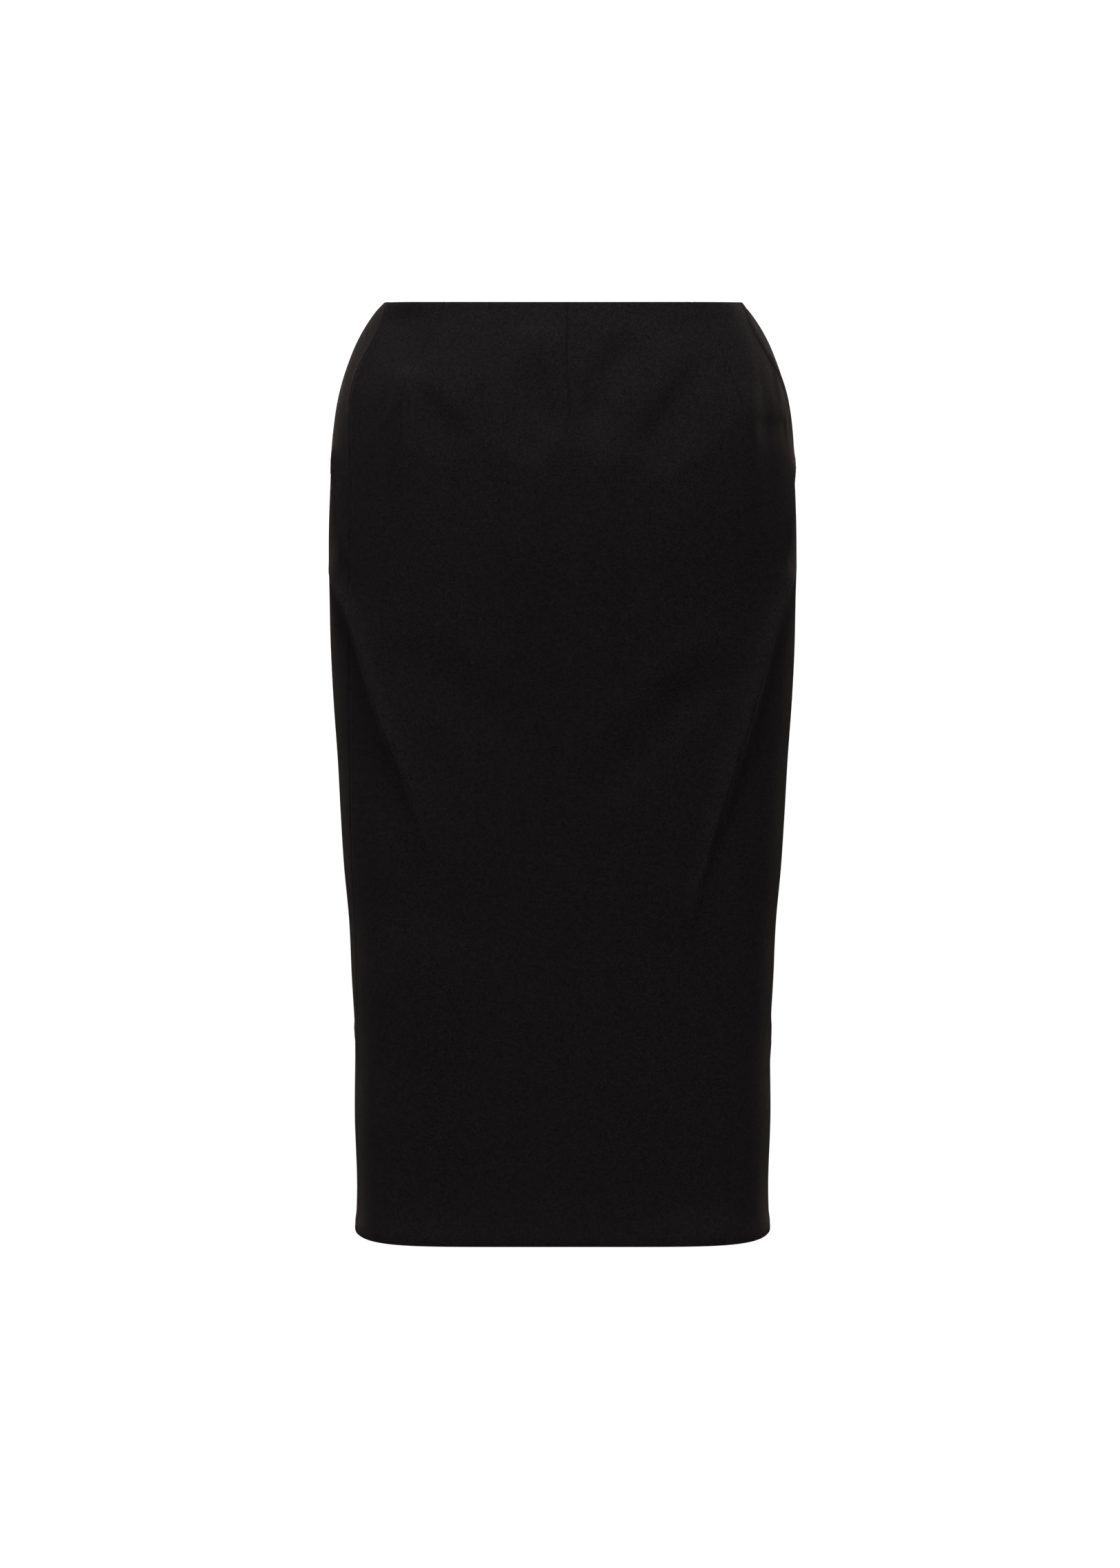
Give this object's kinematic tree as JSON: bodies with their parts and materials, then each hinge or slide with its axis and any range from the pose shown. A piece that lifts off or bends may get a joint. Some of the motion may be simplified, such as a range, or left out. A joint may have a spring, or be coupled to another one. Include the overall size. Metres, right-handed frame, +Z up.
{
  "type": "pencil skirt",
  "caption": "High-waisted knee-length pencil skirt in plain black suiting, filled out as worn, with front darts, a back zip and a walking slit.",
  "frame": {"origin": "centre of the waist edge, in its plane, where the wearer's waist holds the skirt up", "axes": "+Z up, -Y out of the front of the skirt, +X to the wearer's left"},
  "size_m": [0.3492, 0.2372, 0.6951],
  "materials": {
    "suiting": "matte black plain-weave wool suiting",
    "zip_tape": "black woven polyester tape",
    "zip_metal": "black enamelled zinc alloy"
  },
  "bodies": {
    "skirt": {"front_panel": "suiting", "back_left_panel": "suiting", "back_right_panel": "suiting", "zip_tape_left": "zip_tape", "zip_tape_right": "zip_tape", "zip_slider": "zip_metal"},
    "pull": {"zip_pull": "zip_metal"}
  },
  "joints": [
    {"name": "pull_swing", "type": "hinge", "parent": "skirt", "child": "pull", "pos_m": [0, 0.09718, -0.00967], "axis": [1, 0, 0], "range_deg": [0, 150]}
  ]
}
